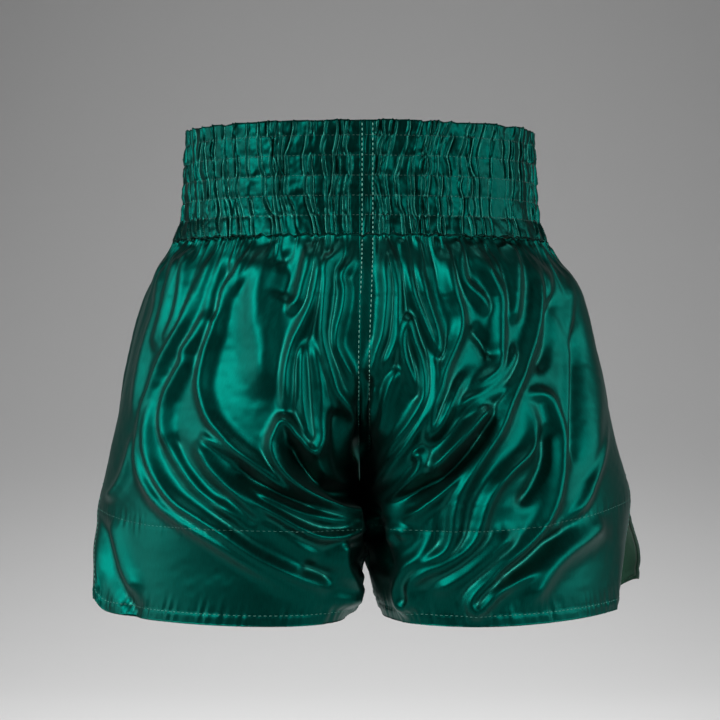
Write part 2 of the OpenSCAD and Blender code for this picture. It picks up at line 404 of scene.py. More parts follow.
def band_grid(side, levels, columns, inset=0.0):
    p = np.zeros((len(levels), columns, 3))
    s = np.zeros((len(levels), columns))
    u = np.linspace(0, 1, columns)
    for r, h in enumerate(levels):
        x, y = band_ring(h, inset)
        run = np.concatenate([[0], np.cumsum(np.hypot(np.diff(x), np.diff(y)))])
        at = u * run[-1]
        p[r] = np.stack([side * np.interp(at, run, x), np.interp(at, run, y), np.full(columns, -h)], -1)
        s[r] = at
    return p, s


def channel_place(h):
    """The channel that h is in, and how far down it, from 0 to 1. The heading is channel -1."""
    k = np.floor((h - HEADING) / CHANNEL)
    k = np.clip(k, -1, CHANNELS - 1)
    t = np.where(k < 0, h / HEADING, (h - HEADING - k * CHANNEL) / CHANNEL)
    return k.astype(int), np.clip(t, 0, 1)


def shirred(side, rng, columns, outward, depth, puff, inset, lines, sharp=0.62):
    """Cloth gathered on the rows of stitching: a grid of points, outside or inside the band. It
    stands up in narrow pinched lines, and the patches between them lie at different tilts."""
    heading = np.linspace(0, HEADING, 8)[:-1]
    steps = np.linspace(0, 1, 11)[:-1]
    rows = [HEADING + CHANNEL * (k + steps) for k in range(CHANNELS)]
    levels = np.concatenate([heading] + rows + [[BAND]])
    p, s = band_grid(side, levels, columns, inset)
    n = normals(p, -side) * outward
    channel, t = channel_place(levels)
    lift = np.zeros(p.shape[:2])
    rise = np.zeros(p.shape[:2])
    shape = (CHANNELS + 1, lines.shape[1])
    height = pinch_heights(side)
    tucked = rng.random(shape) > 0.5
    tilt = rng.normal(0, 0.19, (CHANNELS + 2, shape[1]))
    bulge = rng.uniform(-0.4, 0.35, shape)
    bow = rng.normal(0, 0.7, shape)
    for r, h in enumerate(levels):
        k = channel[r] + 1
        level = min(k + t[r], len(lines) - 1.001)
        f = level - int(level)
        line = lines[int(level)] * (1 - f) + lines[int(level) + 1] * f
        at = np.sort(line + bow[k] * math.sin(math.pi * f))
        j, before, after = beside(s[r], at)
        gap = before + after
        if k:
            swell = math.sin(math.pi * t[r]) ** 0.6
            puffed = puff * swell
        else:
            swell = 1 - 0.6 * t[r]
            puffed = puff * math.cos(math.pi / 2 * t[r]) ** 0.7
        pinch = (height[k][j] * np.exp(-(before / sharp) ** 2)
                 + height[k][j + 1] * np.exp(-(after / sharp) ** 2))
        pinch -= 0.55 * tucked[k][j] * height[k][j] * np.exp(-((before - 2 * sharp) / sharp) ** 2)
        pinch -= 0.55 * (~tucked[k][j + 1]) * height[k][j + 1] * np.exp(-((after - 2 * sharp) / sharp) ** 2)
        twist = tilt[k][j] * (1 - t[r]) + tilt[k + 1][j] * t[r]
        patch = 0.65 * twist * (before - gap / 2) * smooth(np.minimum(before, after) / 1.4)
        patch += bulge[k][j] * np.sin(math.pi * before / gap)
        lift[r] = 1.1 + puffed + depth * pinch * (0.75 + 0.25 * swell) + patch * (0.55 + 0.45 * swell)
        if not k:
            rise[r] = (1 - t[r]) * (1.3 * blur(np.interp(s[r], at, height[0]), 3, (0,)) - 0.8)
    lift += lumps(rng, p.shape[:2], (22, 90)) * 0.35 + lumps(rng, p.shape[:2], (40, 180)) * 0.16
    return p, n, np.maximum(blur(lift, 1, (1,)), 0.1), rise, s, levels


def seam_strip(x):
    """1 on the flat strip between the twin rows of stitching, 0 away from it."""
    middle, half = sum(SEAM_AT) / 2, (SEAM_AT[1] - SEAM_AT[0]) / 2 + 0.8
    return smooth((half + 1.2 - np.abs(x - middle)) / 1.6)


def seam_rows(x):
    """The grooves that the twin rows of stitching pull into the strip."""
    return -ROW_DEPTH * sum(np.exp(-((x - a) / 0.7) ** 2) for a in SEAM_AT)


# ---- Folds of the back -----------------------------------------------------------
# Each is how far it stands out, its reach on both sides of its line, and the line: points across
# and down from the middle of the top edge, as they show from behind. They were traced by eye, and a
# helper script scaled them to millimetres. The front carries the same folds the other way round.
BACK_FOLDS = [
    (4.2, 4.7, [(-154, 96), (-158, 120), (-162, 142), (-168, 160), (-174, 182), (-178, 206),
        (-182, 232)]),
    (5.4, 6.8, [(-142, 92), (-146, 112), (-152, 134), (-158, 156), (-165, 175)]),
    (5.8, 5.4, [(-134, 89), (-138, 108), (-142, 132), (-148, 153), (-158, 170)]),
    (7.8, 6.1, [(-122, 98), (-129, 120), (-134, 136), (-139, 151), (-149, 169), (-157, 185), (-163, 202),
        (-169, 218), (-172, 238), (-174, 257), (-170, 276), (-160, 293), (-144, 307), (-126, 319),
        (-107, 331), (-89, 343), (-71, 354), (-54, 365), (-38, 374)]),
    (7.5, 6.1, [(-118, 120), (-121, 142), (-129, 161), (-137, 174), (-138, 183), (-145, 196), (-152, 210),
        (-155, 225), (-154, 239), (-148, 252), (-140, 266), (-129, 281), (-115, 293), (-101, 303),
        (-88, 314), (-75, 326)]),
    (8.5, 6.1, [(-92, 86), (-90, 100), (-97, 113), (-106, 124), (-110, 137), (-114, 156), (-120, 173),
        (-124, 190), (-125, 202), (-122, 217), (-117, 229), (-110, 238), (-102, 247), (-91, 256),
        (-78, 266), (-63, 277), (-46, 290)]),
    (5.4, 5.4, [(-70, 87), (-83, 106), (-94, 118), (-103, 127), (-108, 140), (-112, 156)]),
    (6.8, 14.9, [(-78, 89), (-82, 120), (-81, 148), (-77, 174), (-78, 212)]),
    (6.1, 5.4, [(-42, 86), (-40, 102), (-45, 120), (-49, 133), (-60, 142)]),
    (8.2, 5.4, [(-36, 86), (-32, 102), (-34, 120), (-38, 136), (-45, 152), (-53, 168), (-58, 188),
        (-59, 208), (-60, 227)]),
    (7.1, 4.7, [(-45, 162), (-46, 188), (-46, 212), (-43, 233), (-39, 250)]),
    (5.8, 6.1, [(-38, 162), (-34, 184), (-31, 206), (-32, 228), (-37, 247)]),
    (8.5, 5.1, [(-12, 86), (-20, 98), (-26, 105), (-27, 121), (-29, 140), (-30, 161), (-26, 180),
        (-22, 195), (-19, 206), (-12, 216), (-6, 228), (-6, 246)]),
    (6.5, 4.7, [(-6, 86), (-7, 102), (-14, 113), (-12, 126), (-14, 141), (-18, 156), (-19, 169),
        (-14, 181), (-8, 193), (-3, 208)]),
    (12.9, 5.4, [(-19, 204), (-26, 217), (-29, 232), (-32, 244), (-38, 254), (-44, 250), (-50, 242),
        (-55, 234), (-61, 229), (-66, 238), (-69, 248), (-66, 260), (-58, 272), (-47, 282), (-34, 290),
        (-19, 298), (-6, 303), (2, 308), (-6, 314), (-19, 320), (-34, 321), (-50, 314), (-66, 304),
        (-82, 294), (-94, 285), (-104, 274)]),
    (-10.2, 6.8, [(10, 292), (7, 304), (7, 316), (10, 328)]),
    (5.8, 4.7, [(-38, 252), (-34, 264), (-28, 274), (-20, 285)]),
    (7.1, 5.1, [(2, 310), (-19, 309), (-38, 305), (-56, 298), (-72, 290), (-88, 282)]),
    (5.8, 5.4, [(-129, 239), (-117, 245), (-99, 254), (-83, 266), (-68, 277), (-54, 289)]),
    (7.1, 6.8, [(-130, 242), (-124, 254), (-117, 267), (-106, 279), (-94, 290), (-82, 301), (-70, 309)]),
    (9.2, 6.1, [(-150, 193), (-162, 212), (-166, 232), (-166, 254), (-159, 274), (-146, 293), (-128, 306),
        (-110, 318), (-94, 330), (-79, 340), (-60, 350), (-40, 358), (-16, 364)]),
    (12.8, 7.4, [(-24, 322), (-19, 330), (-18, 340), (-14, 350), (-12, 361), (-15, 370), (-26, 377)]),
    (5.1, 4.7, [(-178, 236), (-182, 254), (-188, 272), (-195, 284), (-203, 293)]),
    (4.1, 6.8, [(-88, 308), (-68, 316), (-48, 330), (-34, 340)]),
    (-14.4, 8.1, [(-54, 242), (-49, 258), (-35, 273), (-18, 286), (-3, 294)]),
    (-9.3, 8.1, [(-19, 218), (-18, 238), (-14, 260), (-6, 280)]),
    (-6.1, 6.1, [(-150, 238), (-141, 260), (-125, 282), (-106, 298)]),
    (-6.8, 6.1, [(-102, 266), (-82, 279), (-58, 291), (-34, 300)]),
    (-8.5, 9.5, [(-8, 328), (-5, 338), (-5, 350)]),
    (-5.1, 6.8, [(-102, 102), (-111, 124), (-117, 150)]),
    (-5.8, 6.1, [(-48, 344), (-34, 350), (-22, 354)]),
    (-5.1, 9.5, [(-62, 92), (-58, 112), (-64, 132)]),
    (8.2, 5.1, [(19, 86), (19, 105), (21, 124), (20, 145), (18, 161), (14, 174), (11, 189), (10, 209),
        (7, 228), (6, 244)]),
    (6.5, 4.7, [(22, 86), (26, 102), (30, 121), (30, 148), (28, 167), (23, 180), (19, 191)]),
    (7.8, 4.7, [(34, 86), (38, 111), (43, 132), (51, 152), (61, 175), (61, 161), (56, 144), (51, 128),
        (46, 111), (41, 86)]),
    (8.2, 4.9, [(45, 209), (42, 196), (36, 180), (34, 164), (38, 149), (42, 164), (48, 180), (51, 196),
        (50, 212), (42, 228), (32, 242), (22, 257), (13, 274)]),
    (5.8, 4.7, [(33, 185), (25, 199), (21, 214), (19, 229), (13, 242)]),
    (8.2, 5.4, [(55, 166), (59, 184), (59, 201), (56, 217), (48, 233), (38, 249), (29, 262), (19, 276),
        (11, 288)]),
    (9.2, 5.7, [(69, 86), (69, 101), (72, 121), (78, 141), (79, 156), (74, 172), (67, 189), (64, 204),
        (59, 221), (57, 239), (65, 231), (72, 216), (79, 201), (90, 190)]),
    (6.1, 5.4, [(77, 86), (78, 102), (81, 117), (89, 126), (97, 134), (102, 145)]),
    (7.5, 5.7, [(86, 86), (94, 102), (102, 115), (109, 130), (110, 148), (110, 169), (109, 187),
        (97, 198), (81, 209)]),
    (6.5, 6.1, [(114, 86), (122, 106), (122, 132), (119, 153)]),
    (10.2, 6.1, [(125, 87), (136, 106), (140, 124), (139, 143), (136, 161), (130, 182), (124, 200),
        (118, 214), (114, 226), (109, 238), (99, 254), (88, 272), (80, 288), (76, 304), (74, 320),
        (68, 333), (54, 341), (42, 349), (36, 359)]),
    (7.8, 4.9, [(111, 217), (106, 234), (95, 253), (82, 269), (70, 283), (58, 294), (46, 303),
        (30, 309)]),
    (5.4, 4.7, [(145, 102), (149, 121), (146, 143), (144, 164), (138, 181), (130, 196)]),
    (6.5, 4.9, [(123, 166), (119, 182), (110, 197), (96, 207), (83, 214), (74, 225)]),
    (5.4, 4.9, [(131, 185), (123, 197), (110, 206), (96, 214), (82, 226)]),
    (12.8, 6.5, [(105, 215), (95, 227), (84, 240), (73, 252), (64, 262), (56, 272)]),
    (9.2, 5.7, [(125, 210), (136, 208), (148, 210), (154, 224), (158, 241), (158, 262), (156, 284),
        (150, 303), (142, 317), (129, 331), (116, 342), (104, 354), (92, 366), (88, 375), (92, 382),
        (99, 377), (109, 366), (125, 356), (145, 348), (163, 338)]),
    (9.2, 5.7, [(131, 210), (138, 228), (138, 244), (132, 256), (120, 268), (108, 282), (101, 296),
        (96, 312), (91, 325), (80, 336), (67, 344), (52, 350), (42, 359), (43, 372), (37, 378), (32, 372),
        (31, 360), (37, 346), (48, 336), (56, 320), (57, 302)]),
    (8.5, 4.9, [(42, 260), (48, 256), (49, 266), (42, 276), (32, 286), (19, 295)]),
    (5.8, 4.6, [(198, 225), (193, 248), (189, 265), (184, 280), (178, 294), (168, 306), (156, 316),
        (142, 322)]),
    (7.1, 8.8, [(192, 303), (186, 316), (172, 328), (160, 338), (149, 351), (141, 364), (132, 375)]),
    (4.4, 4.3, [(162, 100), (166, 132), (166, 164), (166, 196), (166, 236), (165, 278)]),
    (6.1, 10.1, [(162, 102), (172, 132), (180, 164), (186, 196), (186, 236), (185, 278)]),
    (6.8, 8.1, [(125, 316), (109, 330), (91, 346), (74, 358), (56, 367)]),
    (5.8, 5.4, [(21, 329), (26, 318), (34, 317), (35, 325)]),
    (-10.2, 6.8, [(11, 190), (6, 210), (2, 238), (1, 266)]),
    (-8.5, 6.1, [(108, 223), (98, 242), (83, 261), (65, 275), (41, 286), (19, 294)]),
    (-7.1, 6.8, [(146, 232), (149, 256), (139, 281), (126, 298)]),
    (-7.6, 6.8, [(174, 298), (160, 316), (141, 334), (123, 349), (110, 359)]),
    (-6.8, 6.8, [(154, 124), (150, 148), (148, 172), (138, 190)]),
    (-6.8, 5.4, [(170, 148), (172, 188), (171, 228), (170, 268)]),
    (-6.8, 8.1, [(16, 304), (11, 316), (18, 340), (19, 352)]),
    (-5.8, 5.4, [(88, 152), (99, 166), (107, 180)]),
]
FOLDS = [(size, reach, reach, points) for size, reach, points in BACK_FOLDS]
MIRRORED = [(size, reach, reach, [(-x, h) for x, h in points]) for size, reach, points in BACK_FOLDS]
# The folds of the flap at the left, with their reach to the left and to the right.
FLAP_FOLD = [
    (-6.5, 5, 8, [(-208, 302), (-206, 320), (-202, 338), (-198, 352), (-191, 367), (-184, 380),
        (-178, 390)]),
    (5, 7, 7, [(-199, 305), (-193, 330), (-187, 350), (-178, 368)]),
]


# ---- Materials -------------------------------------------------------------------

def material(name, base, rough, metallic=0.0, sheen=0.0, anisotropic=0.0, specular=0.5):
    m = bpy.data.materials.new(name)
    m.use_nodes = True
    shader = m.node_tree.nodes["Principled BSDF"]
    shader.inputs["Base Color"].default_value = (*base, 1)
    shader.inputs["Roughness"].default_value = rough
    shader.inputs["Metallic"].default_value = metallic
    shader.inputs["Sheen Weight"].default_value = sheen
    shader.inputs["Anisotropic"].default_value = anisotropic
    shader.inputs["Specular IOR Level"].default_value = specular
    return m, m.node_tree.nodes, m.node_tree.links, shader


def ramp(nodes, low, high, at=(0.0, 1.0)):
    r = nodes.new("ShaderNodeValToRGB")
    r.color_ramp.elements[0].color = (*low, 1)
    r.color_ramp.elements[1].color = (*high, 1)
    r.color_ramp.elements[0].position, r.color_ramp.elements[1].position = at
    return r


def cloth(name, dark, light, rough, threads, bump, crest_highlight=None, **extra):
    """A woven cloth: its threads run along the cloth's own coordinates. On sharp crests its
    colour is painted paler, a painted highlight along the crest lines."""
    m, nodes, links, shader = material(name, light, rough, **extra)
    place = nodes.new("ShaderNodeUVMap")
    place.uv_map = "cloth"
    stretch = nodes.new("ShaderNodeMapping")
    stretch.inputs["Scale"].default_value = threads
    links.new(place.outputs["UV"], stretch.inputs["Vector"])
    streaks = nodes.new("ShaderNodeTexNoise")
    streaks.inputs["Scale"].default_value = 1.0
    streaks.inputs["Detail"].default_value = 3.0
    links.new(stretch.outputs["Vector"], streaks.inputs["Vector"])
    colour = ramp(nodes, dark, light, (0.3, 0.7))
    links.new(streaks.outputs["Fac"], colour.inputs["Fac"])
    tint = colour.outputs["Color"]
    # painted highlight: on sharp crests, where the mesh is pointy, the colour is mixed towards the paler
    # crest colour
    if crest_highlight:
        form = nodes.new("ShaderNodeNewGeometry")
        sharp = nodes.new("ShaderNodeMapRange")
        sharp.inputs["From Min"].default_value = 0.515
        sharp.inputs["From Max"].default_value = 0.58
        links.new(form.outputs["Pointiness"], sharp.inputs["Value"])
        painted_highlight = nodes.new("ShaderNodeMixRGB")
        painted_highlight.inputs["Color2"].default_value = (*crest_highlight, 1)
        links.new(sharp.outputs["Result"], painted_highlight.inputs["Fac"])
        links.new(tint, painted_highlight.inputs["Color1"])
        tint = painted_highlight.outputs["Color"]
    links.new(tint, shader.inputs["Base Color"])
    weave = nodes.new("ShaderNodeTexWave")
    weave.wave_type = "BANDS"
    weave.bands_direction = "DIAGONAL"
    weave.inputs["Scale"].default_value = 420.0
    weave.inputs["Distortion"].default_value = 1.5
    weave.inputs["Detail"].default_value = 1.0
    links.new(place.outputs["UV"], weave.inputs["Vector"])
    gloss = nodes.new("ShaderNodeMapRange")
    gloss.inputs["To Min"].default_value = rough - 0.05
    gloss.inputs["To Max"].default_value = rough + 0.06
    links.new(streaks.outputs["Fac"], gloss.inputs["Value"])
    links.new(gloss.outputs["Result"], shader.inputs["Roughness"])
    both = nodes.new("ShaderNodeMath")
    both.operation = "MULTIPLY_ADD"
    both.inputs[1].default_value = 0.35
    links.new(weave.outputs["Fac"], both.inputs[0])
    links.new(streaks.outputs["Fac"], both.inputs[2])
    warp = nodes.new("ShaderNodeTangent")
    warp.direction_type = "UV_MAP"
    warp.uv_map = "cloth"
    links.new(warp.outputs["Tangent"], shader.inputs["Tangent"])
    relief = nodes.new("ShaderNodeBump")
    relief.inputs["Strength"].default_value = bump
    relief.inputs["Distance"].default_value = 0.0002
    links.new(both.outputs["Value"], relief.inputs["Height"])
    links.new(relief.outputs["Normal"], shader.inputs["Normal"])
    return m


# both satins carry a painted highlight: a paler colour mixed in on their sharp crests
satin = cloth("satin_outside", (0.0, 0.045, 0.035), (0.0, 0.06, 0.047), 0.4, (1400, 160, 1), 0.08,
              crest_highlight=(0.015, 0.15, 0.12), metallic=1.0, sheen=0.01, anisotropic=0.4)
# the waistband's satin is the same cloth with a darker base colour: painted shade for the self-shadowing
# between its tight gathers
gathered = cloth("satin_gathered_painted_shade", (0.0, 0.025, 0.02), (0.0, 0.038, 0.03), 0.38, (1400, 160, 1), 0.08,
                 crest_highlight=(0.02, 0.15, 0.12), metallic=1.0, sheen=0.01, anisotropic=0.3)
dull = cloth("satin_reverse", (0.005, 0.05, 0.024), (0.009, 0.08, 0.04), 0.75, (900, 900, 1), 0.35,
             sheen=0.2, specular=0.3)
thread_light, *_ = material("thread_light", (0.10, 0.34, 0.27), 0.5, sheen=0.3)
thread_dark, *_ = material("thread_dark", (0.0, 0.05, 0.038), 0.6, sheen=0.1)
thread_faint, *_ = material("thread_faint", (0.02, 0.14, 0.11), 0.6, sheen=0.1)
rubber = cloth("elastic_woven", (0.55, 0.55, 0.52), (0.8, 0.8, 0.77), 0.7, (2500, 300, 1), 0.6)


# ---- Leg panels ------------------------------------------------------------------

# How far the fullest part of each panel leans towards the other leg.
LEAN = {("left", "back"): 44, ("right", "back"): 28, ("left", "front"): 34, ("right", "front"): 38}


def gap_plane(h, y):
    """The surface between the legs, where they touch below the crotch."""
    return 5 * smooth((h - 275) / 50) + 1.6 * np.sin(y / 9 + h / 30) * smooth((h - CROTCH - 8) / 15)


def pleats(rng, side, face, run, h):
    """Pleats that fan out of the waistband's last row and run together further down."""
    out = np.zeros(run.shape)
    below = h[:, 0] - BAND
    # distances are taken as at the band, so a pleat fans out with the cloth
    fan = run / run[:, -1:] * run[0, -1]
    round_band = fan if face < 0 else 2 * run[0, -1] - fan
    first = PINCHES[side][-1]
    height = pinch_heights(side)[-1]
    for r in np.where(below < 45)[0]:
        sharp = 0.8 + 0.07 * max(below[r], 0)
        j, before, after = beside(round_band[r], first)
        pinch = height[j] * np.exp(-(before / sharp) ** 2)
        pinch += height[j + 1] * np.exp(-(after / sharp) ** 2)
        out[r] += PINCH * math.exp(-max(below[r], 0) / 18) * pinch
    for pitch, start, fade, size in ((11, 2, 16, 2.2), (21, 10, 40, 2.4)):
        lines = gathers(rng, BAND_RUN, pitch, 4, wander=pitch * 0.12)
        height = rng.uniform(0.25, 1.2, len(lines[0]))
        for r in np.where(below < start + 3 * fade)[0]:
            rise = smooth((below[r] - start) / (fade * 0.35)) * math.exp(-max(below[r] - start, 0) / fade)
            level = min(max(below[r], 0) / fade, 2.99)
            f = level - int(level)
            at = np.sort(lines[int(level)] * (1 - f) + lines[int(level) + 1] * f)
            j, before, after = beside(fan[r], at)
            sharp = 0.2 * pitch
            out[r] += size * rise * (height[j] * np.exp(-(before / sharp) ** 2)
                                     + height[j + 1] * np.exp(-(after / sharp) ** 2))
    return out


def scallop(p, h):
    """How far the join of waistband and panels is drawn up and let down by the gathers."""
    turn = np.arctan2(p[..., 1], p[..., 0])
    wave = 0.55 * np.sin(41 * turn) + 0.5 * np.sin(67 * turn + 2) + 0.4 * np.sin(103 * turn + 1)
    return wave * np.exp(-((h - BAND) / 5) ** 2)


panels = {}


def run_of(p):
    """How far each point is along its row."""
    step = np.linalg.norm(np.diff(p, axis=1), axis=-1)
    return np.concatenate([np.zeros((len(p), 1)), np.cumsum(step, axis=1)], 1)


def seam_drift(h):
    """How far the back's twin rows stray to the left on their way down."""
    return 2.6 * smooth((h - BAND) / 95)


def ridden_up(side, u, h):
    """How far the back's cloth rides up towards the sides, and on the left towards the crotch."""
    if side > 0:
        most = 15 * smooth((u - 0.5) / 0.5)
    else:
        most = 7 * smooth((u - 0.7) / 0.3) + 9 * smooth(1 - u / 0.22)
    return most * smooth((h - 215) / 90) * (1 - 0.75 * smooth((h - LENGTH + FACING) / 55))


def folds_held(u, h):
    """0 where a panel is sewn to the next one, so that no fold stands there, and 1 away from it."""
    side_seam = smooth((1 - u) / 0.05)
    edge = np.where(h < SLIT, side_seam, 1 - (1 - side_seam) * smooth((SLIT + 12 - h) / 12))
    inner = np.where(h > CROTCH - 2, smooth(u / 0.1), 1)
    return edge * inner * smooth((h - BAND) / 10)


def swing_flap(shaped, n, u, h, key):
    """Moves the flap beside a slit as it hangs: a pair of the panel's side and face picks how."""
    flap = smooth((u - 0.86) / 0.14) * smooth((h - SLIT - 8) / 70)
    if key == ("left", "back"):
        shaped += flap[..., None] * [7, -26, 8]
        line = fold_field(seen(shaped), FLAP_FOLD)
        shaped += n * blur(line, 2)[..., None]
    elif key == ("right", "back"):
        shaped += flap[..., None] * [-9, 14, 3]
        corner = smooth((u - 0.86) / 0.14) * smooth((h - 338) / 37)
        shaped += corner[..., None] * [-14, 4, 8]
        shaped += (corner * smooth((h - 352) / 23))[..., None] * [-10, 8, 5]
    elif key == ("right", "front"):
        shaped += flap[..., None] * [10.5, 20, 16]
    else:
        shaped += flap[..., None] * [3, 4, 1]


def press_legs(shaped, u, h, side):
    """Flattens the cloth against the surface between the legs."""
    plane = gap_plane(h, shaped[..., 1])
    shaped[..., 0] += plane * np.exp(-(u / 0.3) ** 2)
    side_x = side * (shaped[..., 0] - plane)
    apart = 0.15 * smooth((h - CROTCH) / 10) + 0.27 * np.maximum(h - 340, 0)
    lowest = np.where(h < CROTCH, 0.0, apart)
    shaped[..., 0] = np.where(side_x < lowest, plane + side * lowest, shaped[..., 0])


def seam_detail(detail, x, h, face):
    """Lays the flat strip of the centre seam into a panel's detail."""
    above_crotch = smooth((CROTCH - 10 - h) / 20)
    if face < 0:
        strip = seam_strip(x + seam_drift(h)) * above_crotch
        return detail * (1 - strip) + 0.7 * strip + seam_rows(x + seam_drift(h)) * strip
    near = np.abs(x)
    strip = smooth((6.0 - near) / 1.6) * above_crotch
    groove = ROW_DEPTH * np.exp(-((near - TWIN_HALF) / 0.7) ** 2)
    return detail * (1 - strip) + 0.7 * strip - groove * strip


def edge_detail(rng, run, h):
    """The hem, the facing line, the turned edge of the slit and the side seam, with puckers."""
    from_edge = run[:, -1:] - run
    up = LENGTH - h

    def row_of(at, wide):
        return np.exp(-((up - at) / wide) ** 2)
    wave = np.sin(2 * math.pi * run / 7.3 + 2.5 * lumps(rng, h.shape, (3, 26)))
    pucker = wave * lumps(rng, h.shape, (4, 60))
    hem = 0.55 * smooth((HEM + 1.2 - up) / 1.2) - 0.5 * row_of(HEM, 0.9) + 0.8 * pucker * row_of(HEM, 9)
    facing = -0.22 * row_of(FACING - 2, 0.9) + 0.3 * pucker * row_of(FACING - 2, 7)
    turned = 0.45 * smooth((SLIT_MARGIN + 0.2 - from_edge) / 1.2)
    turned -= 0.45 * np.exp(-((from_edge - SLIT_MARGIN) / 0.9) ** 2)
    seam = np.where(h < SLIT, -0.5 * np.exp(-(from_edge / 2.0) ** 2), 0)
    return hem + facing + smooth((h - SLIT) / 6) * turned + seam + 0.12 * lumps(rng, h.shape, (60, 50))


def build_panel(side_name, face_name, seed):
    side, face = SIDES[side_name], FACES[face_name]
    rng = np.random.default_rng(seed)
    base, flat = panel_base(side, face, LEAN[side_name, face_name], ROWS, COLUMNS)
    h = -base[..., 2]
    u = np.linspace(0, 1, COLUMNS)[None, :] * np.ones_like(h)
    way = side * face
    if face < 0:
        base[..., 2] += ridden_up(side, u, h)
    n = blur(normals(base, way), 12)
    n[:, 0, 0] *= smooth((h[:, 0] - CROTCH) / 8)
    n = unit(n)
    # the front carries the back's folds, a little lower
    folds, strength = (FOLDS, 1.0) if face < 0 else (MIRRORED, 0.8)
    field = fold_field(seen(base * [1, -face, 1]), folds, strength)
    field = blur(field, 3) + 0.6 * lumps(rng, h.shape, (9, 8))
    shaped = base + n * (field * folds_held(u, h))[..., None]
    cleft = -14 * smooth((h - 190) / 80) * smooth((CROTCH + 6 - h) / 14) * np.exp(-(base[..., 0] / 17) ** 2)
    shaped[..., 1] += face * cleft * smooth((np.abs(base[..., 1]) - 20) / 40)
    swing_flap(shaped, n, u, h, (side_name, face_name))
    press_legs(shaped, u, h, side)
    # sewn details, laid on the folded cloth
    n = normals(shaped, way)
    run = run_of(base)
    detail = 1.4 * np.exp(-(h - BAND) / 10) + pleats(rng, side, face, run, h) * smooth((1 - u) / 0.02)
    detail = seam_detail(detail, shaped[..., 0], h, face) + edge_detail(rng, run, h)
    final = shaped + n * detail[..., None]
    final[..., 2] += scallop(final, h)
    name = f"{face_name}_{side_name}_panel"
    piece = shell("satin_" + name, final, way, CLOTH, [satin, dull], flat)
    stands_for(piece, "panel_satin", name)
    panels[side_name, face_name] = {"p": final, "n": normals(final, way), "h": h, "flat": flat,
                                    "run": run, "way": way}


for seed, (face_name, side_name) in enumerate((face, side) for face in FACES for side in SIDES):
    build_panel(side_name, face_name, 40 + seed)


# ---- Waistband pieces ------------------------------------------------------------

casings = {}
for side_name, side in SIDES.items():
    rng = np.random.default_rng(11 + side)
    pinches = PINCHES[side]
    p, n, lift, rise, s, levels = shirred(side, rng, BAND_COLUMNS, 1, PINCH, PUFF, 0.0, pinches)
    x = p[..., 0]
    back = p[..., 1] < 0
    strip = np.where(back, seam_strip(x), smooth((6.0 - np.abs(x)) / 1.6))
    groove = np.where(back, seam_rows(x), -ROW_DEPTH * np.exp(-((np.abs(x) - TWIN_HALF) / 0.7) ** 2))
    lift = lift * (1 - 0.85 * strip) + strip * (1.6 + groove)
    final = p + n * lift[..., None]
    final[..., 2] += rise * (1 - strip) + scallop(final, levels[:, None])
    flat = np.stack([s * 1.6, -levels[:, None] * np.ones_like(s)], -1)
    thick = np.where(levels < 4, 1.1, CLOTH)[:, None] * np.ones_like(s)
    # the casing's outside takes the darker satin, with its painted shade
    piece = shell("satin_waistband_" + side_name, final, -side, thick, [gathered, dull], flat)
    stands_for(piece, "waistband_satin", "waistband_casing_" + side_name)
    casings[side_name] = {"p": final, "n": normals(final, -side), "levels": levels}
    # the lining, gathered the other way on the same rows of stitching
    p, n, lift, _, s, levels = shirred(side, rng, BAND_COLUMNS // 2, -1, 0.8, 0.3, LINING_INSET,
                                       pinches, 1.7)
    keep = levels >= HEADING - 2
    # its top edge is turned out to the casing and caught in the first row
    to_casing = 4.8 * (1 - smooth((levels - HEADING + 1.5) / 4.5))
    final = (p + n * (lift - to_casing[:, None])[..., None])[keep]
    flat = np.stack([s * 1.3, -levels[:, None] * np.ones_like(s)], -1)[keep]
    piece = shell("waistband_lining_cloth_" + side_name, final, side, THIN, [dull, dull], flat)
    stands_for(piece, "lining_cloth", "waistband_lining_" + side_name)


# ---- Facings inside the hems -----------------------------------------------------

for (side_name, face_name), d in panels.items():
    rows = np.where((d["h"][:, 0] > LENGTH - FACING) & (d["h"][:, 0] < LENGTH - 1.5))[0]
    picked = np.ix_(rows, np.arange(2, COLUMNS - 2, 2))
    p = (d["p"] - blur(d["n"], 2) * 1.3)[picked]
    piece = shell(f"facing_{face_name}_{side_name}", p, d["way"], THIN, [dull, dull], d["flat"][picked])
    stands_for(piece, "facing_cloth", f"{face_name}_{side_name}_hem_facing")


# ---- Stitching -------------------------------------------------------------------

def sew(name, lines, thread, node, long, gap, thick):
    stands_for(stitches(name, lines, thread, long, gap, thick), "thread", node)


def reached(x, want):
    """Where along a row of points their x, which grows, reaches want."""
    before = np.where(x[:-1] < want)[0]
    k = before[-1] if len(before) else 0
    return k + np.clip((want - x[k]) / max(x[k + 1] - x[k], 1e-3), 0, 1)


def down_panel(key, x_of_h, first, last):
    """A line down a panel that keeps to x_of_h."""
    d, side = panels[key], SIDES[key[0]]
    rows = np.where((d["h"][:, 0] >= first) & (d["h"][:, 0] <= last))[0]
    at = [reached(d["p"][r, :91, 0] * side, x_of_h(d["h"][r, 0]) * side) for r in rows]
    return at_grid(d["p"], d["n"], rows.astype(float), np.array(at))


def down_casing(side_name, x_of_h, first, last, back=True):
    """A line down half of the waistband's casing, at its back or its front."""
    d, side = casings[side_name], SIDES[side_name]
    rows = np.where((d["levels"] >= first) & (d["levels"] <= last))[0]
    at = []
    for r in rows:
        x = d["p"][r, :, 0] * side
        j = reached((x if back else x[::-1])[:61], x_of_h(d["levels"][r]) * side)
        at.append(j if back else len(x) - 1 - j)
    return at_grid(d["p"], d["n"], rows.astype(float), np.array(at))


